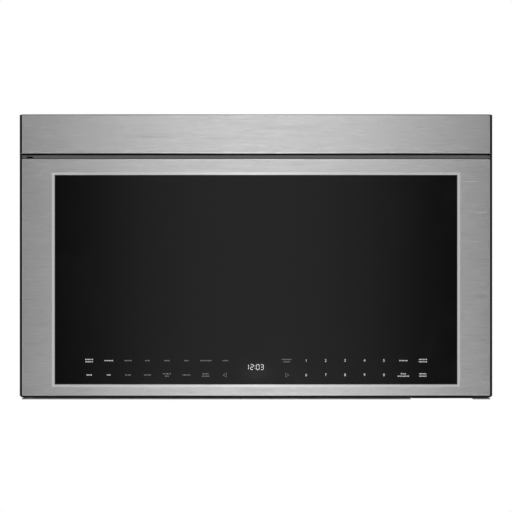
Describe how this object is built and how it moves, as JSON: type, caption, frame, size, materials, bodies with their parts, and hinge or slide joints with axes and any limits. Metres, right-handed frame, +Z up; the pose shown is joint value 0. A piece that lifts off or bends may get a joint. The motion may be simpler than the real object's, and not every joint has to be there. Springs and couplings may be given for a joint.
{
  "type": "over-the-range microwave oven",
  "caption": "Wall-hung microwave oven with a side-hinged steel and black glass door, touch keys under the window, grease filters and lamps below, and a roof blower with an exhaust damper.",
  "frame": {"origin": "centre of the whole part's box, on the plane of its underside", "axes": "+X to the right along the front, +Y back towards the wall, +Z up"},
  "size_m": [0.759, 0.345, 0.476],
  "materials": {
    "brushed_stainless": "brushed lengthways, satin",
    "bright_bevel": "fine satin, smooth",
    "black_glass": "glossy, tinted black",
    "inner_glass": "glossy",
    "black_plastic": "fine moulded grain",
    "charcoal_paint": "satin powder coat",
    "galvanised_steel": "zinc coated, dull",
    "cavity_enamel": "satin, fine speckle",
    "glass_ceramic": "smooth, semi-gloss",
    "filter_aluminium": "bare, lightly brushed",
    "lamination_steel": "varnished laminations",
    "copper_wire": "enamelled winding",
    "circuit_board": "solder resist",
    "motor_steel": "plated",
    "grey_plastic": "moulded",
    "white_plastic": "moulded",
    "lamp_glass": "ribbed, frosted",
    "black_rubber": "matt",
    "carbon_media": "granules in a cell"
  },
  "bodies": {
    "cabinet": {"base_plate": "charcoal_paint", "left_side_panel": "charcoal_paint", "right_side_panel": "charcoal_paint", "top_panel": "charcoal_paint", "rear_panel": "galvanised_steel", "rear_exhaust_cover": "galvanised_steel", "wall_plate": "galvanised_steel", "front_frame": "charcoal_paint", "cord_grommet": "black_rubber", "casing_screws": "galvanised_steel", "oven_cavity": "cavity_enamel", "ceramic_floor": "glass_ceramic", "cavity_lamp": "lamp_glass", "waveguide": "galvanised_steel", "antenna_motor": "motor_steel", "magnetron": "filter_aluminium", "transformer_core": "lamination_steel", "transformer_windings": "copper_wire", "capacitor_and_diode": "motor_steel", "main_board": "circuit_board", "noise_filter": "circuit_board", "fan_shroud": "grey_plastic", "fan_motor": "lamination_steel", "blower_housings": "grey_plastic", "blower_motor": "motor_steel", "exhaust_collar": "galvanised_steel", "charcoal_filter": "carbon_media", "lamp_lenses": "lamp_glass", "lamp_modules": "white_plastic", "fascia_skin": "brushed_stainless", "vent_grille": "black_plastic", "upper_hinge": "galvanised_steel", "hinge_pins": "motor_steel", "interlock_bracket": "white_plastic", "interlock_switches": "grey_plastic", "release_solenoid": "motor_steel"},
    "door": {"door_skin": "brushed_stainless", "window_trim": "bright_bevel", "door_glass": "black_glass", "door_shell": "black_plastic", "door_pan": "galvanised_steel", "choke_cover": "black_plastic", "inner_screen": "galvanised_steel", "inner_pane": "inner_glass", "door_inner_cover": "black_plastic", "latch_spring": "motor_steel", "control_board": "circuit_board", "display_module": "white_plastic", "hinge_bushes": "white_plastic"},
    "latch": {"latch_bar": "white_plastic"},
    "release_lever": {"release_lever": "white_plastic"},
    "plunger": {"solenoid_plunger": "motor_steel"},
    "antenna": {"antenna": "filter_aluminium"},
    "cooling_fan": {"cooling_fan": "grey_plastic"},
    "blower_rotor": {"blower_rotor": "galvanised_steel"},
    "damper": {"damper_flap": "galvanised_steel"},
    "filter_left": {"left_filter_frame": "filter_aluminium", "left_filter_mesh": "filter_aluminium"},
    "filter_right": {"right_filter_frame": "filter_aluminium", "right_filter_mesh": "filter_aluminium"}
  },
  "joints": [
    {"name": "door_swing", "type": "hinge", "parent": "cabinet", "child": "door", "pos_m": [-0.364, -0.1585, 0.2], "axis": [0, 0, -1], "range_deg": [0, 100]},
    {"name": "release_swing", "type": "hinge", "parent": "cabinet", "child": "release_lever", "pos_m": [0.3465, -0.085, 0.152], "axis": [-1, 0, 0], "range_deg": [0, 13]},
    {"name": "latch_slide", "type": "slide", "parent": "door", "child": "latch", "axis": [0, 0, 1], "range_m": [0, 0.0065], "stiffness_N_per_m": 150, "springref_m": -0.01, "deforming": ["latch_spring"]},
    {"name": "plunger_slide", "type": "slide", "parent": "cabinet", "child": "plunger", "axis": [0, 0, 1], "range_m": [0, 0.003]},
    {"name": "antenna_spin", "type": "hinge", "parent": "cabinet", "child": "antenna", "pos_m": [-0.065, -0.0038, 0.05], "axis": [0, 0, 1], "continuous": true},
    {"name": "fan_spin", "type": "hinge", "parent": "cabinet", "child": "cooling_fan", "pos_m": [0.29, 0.15, 0.19], "axis": [0, 1, 0], "continuous": true},
    {"name": "blower_spin", "type": "hinge", "parent": "cabinet", "child": "blower_rotor", "pos_m": [0, 0.094, 0.396], "axis": [1, 0, 0], "continuous": true},
    {"name": "damper_swing", "type": "hinge", "parent": "cabinet", "child": "damper", "pos_m": [0, 0.1475, 0.462], "axis": [-1, 0, 0], "range_deg": [0, 80]},
    {"name": "filter_left_drop", "type": "hinge", "parent": "cabinet", "child": "filter_left", "pos_m": [-0.21, 0.1215, 0.0015], "axis": [1, 0, 0], "range_deg": [0, 70]},
    {"name": "filter_right_drop", "type": "hinge", "parent": "cabinet", "child": "filter_right", "pos_m": [0.08, 0.1215, 0.0015], "axis": [1, 0, 0], "range_deg": [0, 70]}
  ],
  "couplings": [
    {"joint": "release_swing", "follows": "latch_slide", "rad_per_m": 34.483},
    {"joint": "plunger_slide", "follows": "latch_slide", "ratio": 0.431}
  ]
}
